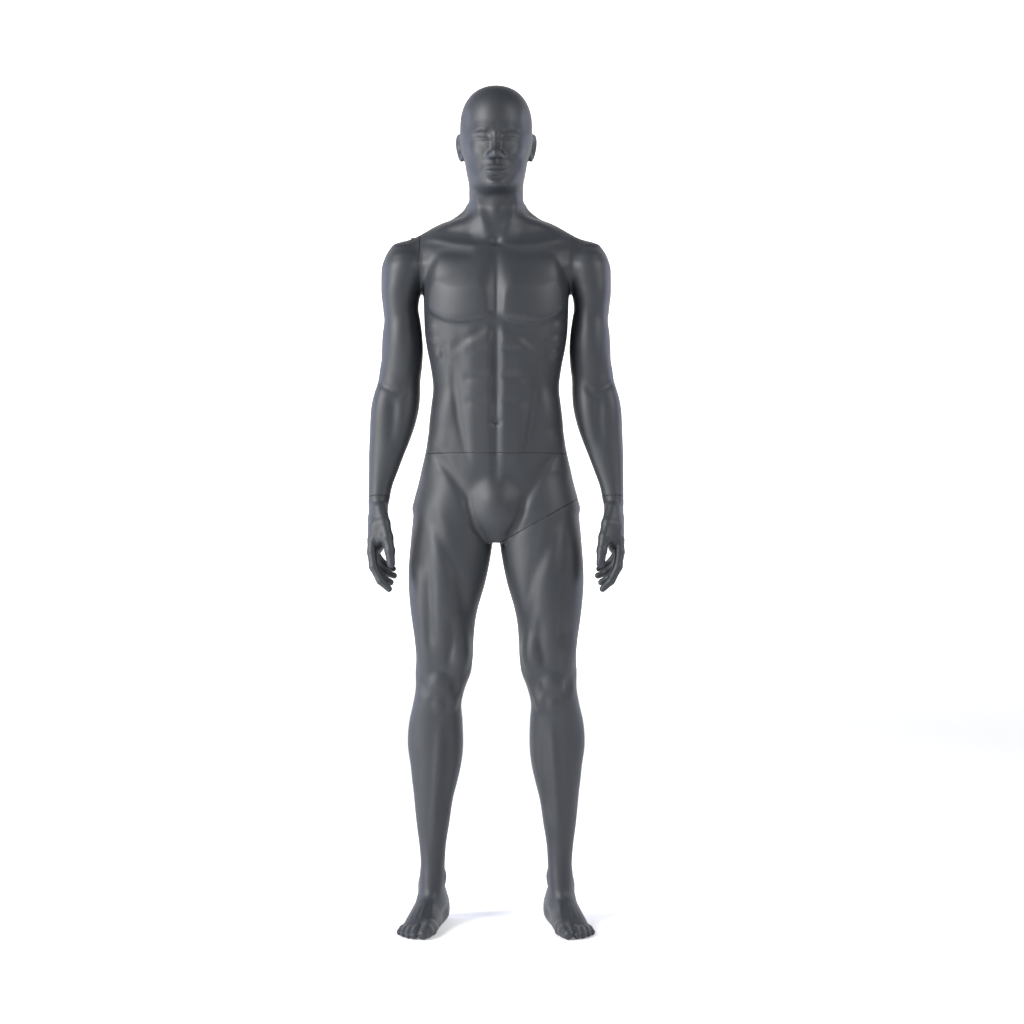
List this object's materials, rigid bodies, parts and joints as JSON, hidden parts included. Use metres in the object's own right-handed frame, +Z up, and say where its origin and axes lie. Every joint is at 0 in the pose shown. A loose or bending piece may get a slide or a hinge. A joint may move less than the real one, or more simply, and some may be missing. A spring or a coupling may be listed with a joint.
{
  "type": "full body mannequin",
  "caption": "Standing full body male display mannequin in satin dark slate, hollow moulded shells that part at the waist, shoulder, wrists and hip, with plug-in fittings.",
  "frame": {"origin": "on the floor, under the middle of the figure's box", "axes": "+Z up along the figure's height, -Y the way the figure faces, +X towards its left arm"},
  "size_m": [0.5624, 0.2638, 1.86],
  "materials": {
    "paint": "fibreglass shell sprayed in satin dark slate grey",
    "plywood": "birch plywood closing plate, sprayed with the shell",
    "steel": "zinc plated steel, brushed",
    "nylon": "natural nylon"
  },
  "bodies": {
    "hips_and_right_leg": {"hips_and_right_leg_shell": "paint", "hip_waist_plate": "plywood", "waist_socket": "steel", "waist_socket_screws": "steel", "hip_leg_plate": "plywood", "leg_pin_sockets": "steel", "leg_magnet": "steel", "foot_rod_socket": "steel", "calf_rod_socket": "steel"},
    "waist_washer": {"waist_slip_washer": "nylon"},
    "upper_body": {"chest_and_head_shell": "paint", "chest_waist_plate": "plywood", "waist_post": "steel", "waist_post_screws": "steel", "chest_shoulder_plate": "plywood", "shoulder_bush": "steel", "shoulder_bush_screws": "steel", "left_wrist_plate": "plywood", "left_wrist_bush": "steel"},
    "shoulder_fitting": {"shoulder_spigot": "steel", "shoulder_circlip": "steel"},
    "right_arm": {"right_arm_shell": "paint", "arm_shoulder_plate": "plywood", "arm_socket": "steel", "arm_socket_screws": "steel", "right_wrist_plate": "plywood", "right_wrist_bush": "steel"},
    "right_wrist_fitting": {"right_wrist_spigot": "steel", "right_wrist_circlip": "steel"},
    "right_hand": {"right_hand": "paint", "right_hand_socket": "steel"},
    "left_wrist_fitting": {"left_wrist_spigot": "steel", "left_wrist_circlip": "steel"},
    "left_hand": {"left_hand": "paint", "left_hand_socket": "steel"},
    "left_leg": {"left_leg_shell": "paint", "leg_seam_plate": "plywood", "leg_pins": "steel", "leg_magnet_keeper": "steel"}
  },
  "joints": [
    {"name": "waist_turn", "type": "hinge", "parent": "hips_and_right_leg", "child": "waist_washer", "pos_m": [0, 0, 1.047], "axis": [0, 0, 1], "range_deg": [-30, 30]},
    {"name": "waist_lift", "type": "slide", "parent": "waist_washer", "child": "upper_body", "axis": [0, 0, 1], "range_m": [0, 0.08]},
    {"name": "shoulder_turn", "type": "hinge", "parent": "upper_body", "child": "shoulder_fitting", "pos_m": [-0.168, 0.008, 1.456], "axis": [-1, 0, 0], "range_deg": [-15, 75]},
    {"name": "arm_pull", "type": "slide", "parent": "shoulder_fitting", "child": "right_arm", "axis": [-1, 0, 0], "range_m": [0, 0.06]},
    {"name": "right_wrist_turn", "type": "hinge", "parent": "right_arm", "child": "right_wrist_fitting", "pos_m": [-0.257, -0.025, 0.95], "axis": [0, 0.1908, 0.9816], "range_deg": [-60, 60]},
    {"name": "right_hand_pull", "type": "slide", "parent": "right_wrist_fitting", "child": "right_hand", "axis": [0, -0.1908, -0.9816], "range_m": [0, 0.04]},
    {"name": "left_wrist_turn", "type": "hinge", "parent": "upper_body", "child": "left_wrist_fitting", "pos_m": [0.257, -0.025, 0.95], "axis": [0, 0.1908, 0.9816], "range_deg": [-60, 60]},
    {"name": "left_hand_pull", "type": "slide", "parent": "left_wrist_fitting", "child": "left_hand", "axis": [0, -0.1908, -0.9816], "range_m": [0, 0.04]},
    {"name": "left_leg_pull", "type": "slide", "parent": "hips_and_right_leg", "child": "left_leg", "axis": [0.4879, 0, -0.8729], "range_m": [0, 0.05]}
  ]
}
